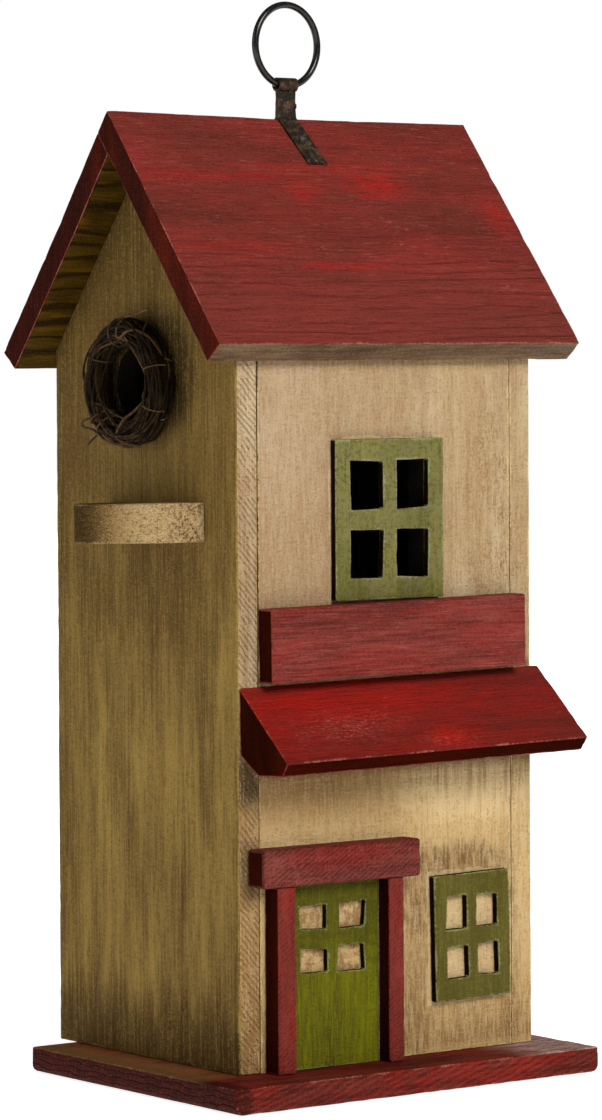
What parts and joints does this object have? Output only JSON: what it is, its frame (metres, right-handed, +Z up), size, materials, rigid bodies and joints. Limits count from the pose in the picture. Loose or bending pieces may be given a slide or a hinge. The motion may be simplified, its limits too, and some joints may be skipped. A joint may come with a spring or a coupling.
{
  "type": "birdhouse",
  "caption": "Steep-roofed wooden birdhouse with a shop-front facade, vine-ringed side entrance, half-round ledge, hinged clean-out wall and hanging ring.",
  "frame": {"origin": "on the underside of the base board, below the middle of the house box and below the ridge", "axes": "+X along the ridge and facade, away from the entrance gable; -Y is the facade with the little door; +Z up"},
  "size_m": [0.2012, 0.1757, 0.4443],
  "materials": {
    "cream_paint": "distressed cream paint over wood, vertical grain",
    "roof_red": "worn barn-red paint, grain along the ridge",
    "trim_red": "worn red paint",
    "base_red": "worn brick-red paint",
    "trim_green": "worn olive-green paint",
    "raw_wood": "bare weathered wood, rough end grain",
    "vine": "dark dry vine",
    "dark_metal": "dark bronzed steel, worn bright on edges",
    "fastener_steel": "plain steel, slightly rusted"
  },
  "bodies": {
    "house": {"base_board": "base_red", "entrance_gable_wall": "cream_paint", "plain_gable_wall": "cream_paint", "front_wall_panel": "cream_paint", "roof_front_board": "roof_red", "roof_rear_board": "roof_red", "upper_window_frame": "trim_green", "sign_board": "trim_red", "awning": "trim_red", "door_lintel": "trim_red", "door_post_left": "trim_red", "door_post_right": "trim_red", "false_door": "trim_green", "lower_window_frame": "trim_green", "entrance_wreath": "vine", "perch_ledge": "raw_wood", "hanger_strap": "dark_metal", "button_washer": "fastener_steel", "button_screw": "fastener_steel", "cleanout_pivot_nails": "fastener_steel", "strap_nails": "dark_metal", "roof_nails": "fastener_steel", "wall_brads": "fastener_steel", "trim_nails": "fastener_steel", "ledge_nails": "fastener_steel", "base_screws": "fastener_steel"},
    "cleanout_door": {"cleanout_door": "cream_paint"},
    "turn_button": {"turn_button": "raw_wood"},
    "hanger_ring": {"hanger_ring": "dark_metal"}
  },
  "joints": [
    {"name": "cleanout_swing", "type": "hinge", "parent": "house", "child": "cleanout_door", "pos_m": [0, 0.0595, 0.284], "axis": [1, 0, 0], "range_deg": [0, 85]},
    {"name": "button_turn", "type": "hinge", "parent": "house", "child": "turn_button", "pos_m": [0.06975, 0.0645, 0.042], "axis": [0, 1, 0], "range_deg": [0, 90]},
    {"name": "ring_swing", "type": "hinge", "parent": "house", "child": "hanger_ring", "pos_m": [-0.0016, 0, 0.4096], "axis": [1, 0, 0], "range_deg": [-150, 150]}
  ]
}
